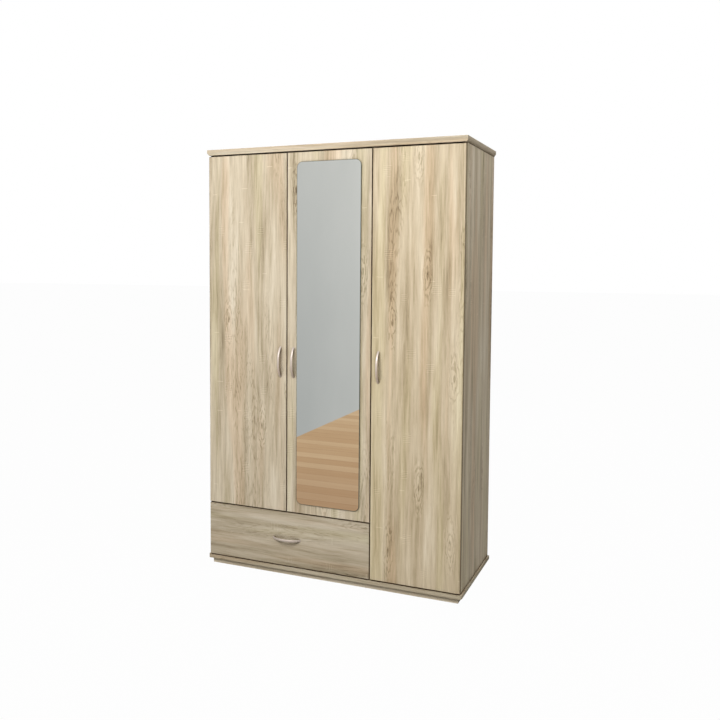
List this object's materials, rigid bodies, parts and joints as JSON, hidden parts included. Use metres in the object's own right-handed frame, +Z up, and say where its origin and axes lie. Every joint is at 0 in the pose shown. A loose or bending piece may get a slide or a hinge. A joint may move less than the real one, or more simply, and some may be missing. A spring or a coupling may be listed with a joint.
{
  "type": "wardrobe with doors",
  "caption": "Tall oak-laminate wardrobe with hinged doors, a mirror on one door, a wide drawer below two doors, a hanging bay and a shelf bay.",
  "frame": {"origin": "on the floor, in the middle of the object's box in plan", "axes": "+Z up; the doors and the drawer face -Y; +X to the right as a person stands in front of the doors"},
  "size_m": [1.216, 0.557, 1.932],
  "materials": {
    "oak_laminate": "light rough-sawn oak decor on chipboard, satin",
    "hardboard": "thin lacquered hardboard, pale, slight sheen",
    "mirror": "silvered 4 mm glass with a narrow bevelled edge",
    "satin_nickel": "satin nickel",
    "rail_chrome": "chromed oval tube",
    "hinge_steel": "nickel-plated pressed steel",
    "runner_steel": "zinc-plated rolled steel"
  },
  "bodies": {
    "carcass": {"cornice": "oak_laminate", "bottom_board": "oak_laminate", "plinth_front": "oak_laminate", "plinth_rear": "oak_laminate", "plinth_left": "oak_laminate", "plinth_right": "oak_laminate", "plinth_centre": "oak_laminate", "left_side_panel": "oak_laminate", "right_side_panel": "oak_laminate", "centre_partition": "oak_laminate", "drawer_cover_board": "oak_laminate", "hat_shelf": "oak_laminate", "shelf_1": "oak_laminate", "shelf_2": "oak_laminate", "shelf_3": "oak_laminate", "shelf_4": "oak_laminate", "back_panel_wide": "hardboard", "back_panel_narrow": "hardboard", "hanging_rail": "rail_chrome", "rail_socket_left": "hinge_steel", "rail_socket_right": "hinge_steel", "left_hinge_arm_1": "hinge_steel", "left_hinge_arm_2": "hinge_steel", "left_hinge_arm_3": "hinge_steel", "mirror_hinge_arm_1": "hinge_steel", "mirror_hinge_arm_2": "hinge_steel", "mirror_hinge_arm_3": "hinge_steel", "right_hinge_arm_1": "hinge_steel", "right_hinge_arm_2": "hinge_steel", "right_hinge_arm_3": "hinge_steel", "cabinet_runner_left": "runner_steel", "cabinet_runner_right": "runner_steel"},
    "left_door": {"left_door_panel": "oak_laminate", "left_door_handle": "satin_nickel", "left_hinge_cup_1": "hinge_steel", "left_hinge_cup_2": "hinge_steel", "left_hinge_cup_3": "hinge_steel"},
    "mirror_door": {"mirror_door_panel": "oak_laminate", "mirror_door_handle": "satin_nickel", "mirror_glass": "mirror", "mirror_hinge_cup_1": "hinge_steel", "mirror_hinge_cup_2": "hinge_steel", "mirror_hinge_cup_3": "hinge_steel"},
    "right_door": {"right_door_panel": "oak_laminate", "right_door_handle": "satin_nickel", "right_hinge_cup_1": "hinge_steel", "right_hinge_cup_2": "hinge_steel", "right_hinge_cup_3": "hinge_steel"},
    "drawer": {"drawer_front": "oak_laminate", "drawer_side_left": "oak_laminate", "drawer_side_right": "oak_laminate", "drawer_back": "oak_laminate", "drawer_bottom": "hardboard", "drawer_handle": "satin_nickel", "drawer_runner_left": "runner_steel", "drawer_runner_right": "runner_steel"},
    "left_links": {"left_hinge_link": "hinge_steel"},
    "mirror_links": {"mirror_hinge_link": "hinge_steel"},
    "right_links": {"right_hinge_link": "hinge_steel"}
  },
  "joints": [
    {"name": "left_door_swing", "type": "hinge", "parent": "carcass", "child": "left_door", "pos_m": [-0.5955, -0.2475, 1.098], "axis": [0, 0, -1], "range_deg": [0, 105]},
    {"name": "mirror_door_swing", "type": "hinge", "parent": "carcass", "child": "mirror_door", "pos_m": [0.194, -0.2475, 1.098], "axis": [0, 0, 1], "range_deg": [0, 105]},
    {"name": "right_door_swing", "type": "hinge", "parent": "carcass", "child": "right_door", "pos_m": [0.5955, -0.2475, 0.973], "axis": [0, 0, 1], "range_deg": [0, 105]},
    {"name": "drawer_slide", "type": "slide", "parent": "carcass", "child": "drawer", "axis": [0, -1, 0], "range_m": [0, 0.35]},
    {"name": "left_link_turn", "type": "hinge", "parent": "left_door", "child": "left_links", "pos_m": [-0.578, -0.2335, 1.098], "axis": [0, 0, 1], "range_deg": [0, 88.5]},
    {"name": "mirror_link_turn", "type": "hinge", "parent": "mirror_door", "child": "mirror_links", "pos_m": [0.1765, -0.2335, 1.098], "axis": [0, 0, -1], "range_deg": [0, 88.5]},
    {"name": "right_link_turn", "type": "hinge", "parent": "right_door", "child": "right_links", "pos_m": [0.578, -0.2335, 0.973], "axis": [0, 0, -1], "range_deg": [0, 88.5]}
  ],
  "couplings": [
    {"joint": "left_link_turn", "follows": "left_door_swing", "ratio": 0.84},
    {"joint": "mirror_link_turn", "follows": "mirror_door_swing", "ratio": 0.84},
    {"joint": "right_link_turn", "follows": "right_door_swing", "ratio": 0.84}
  ]
}
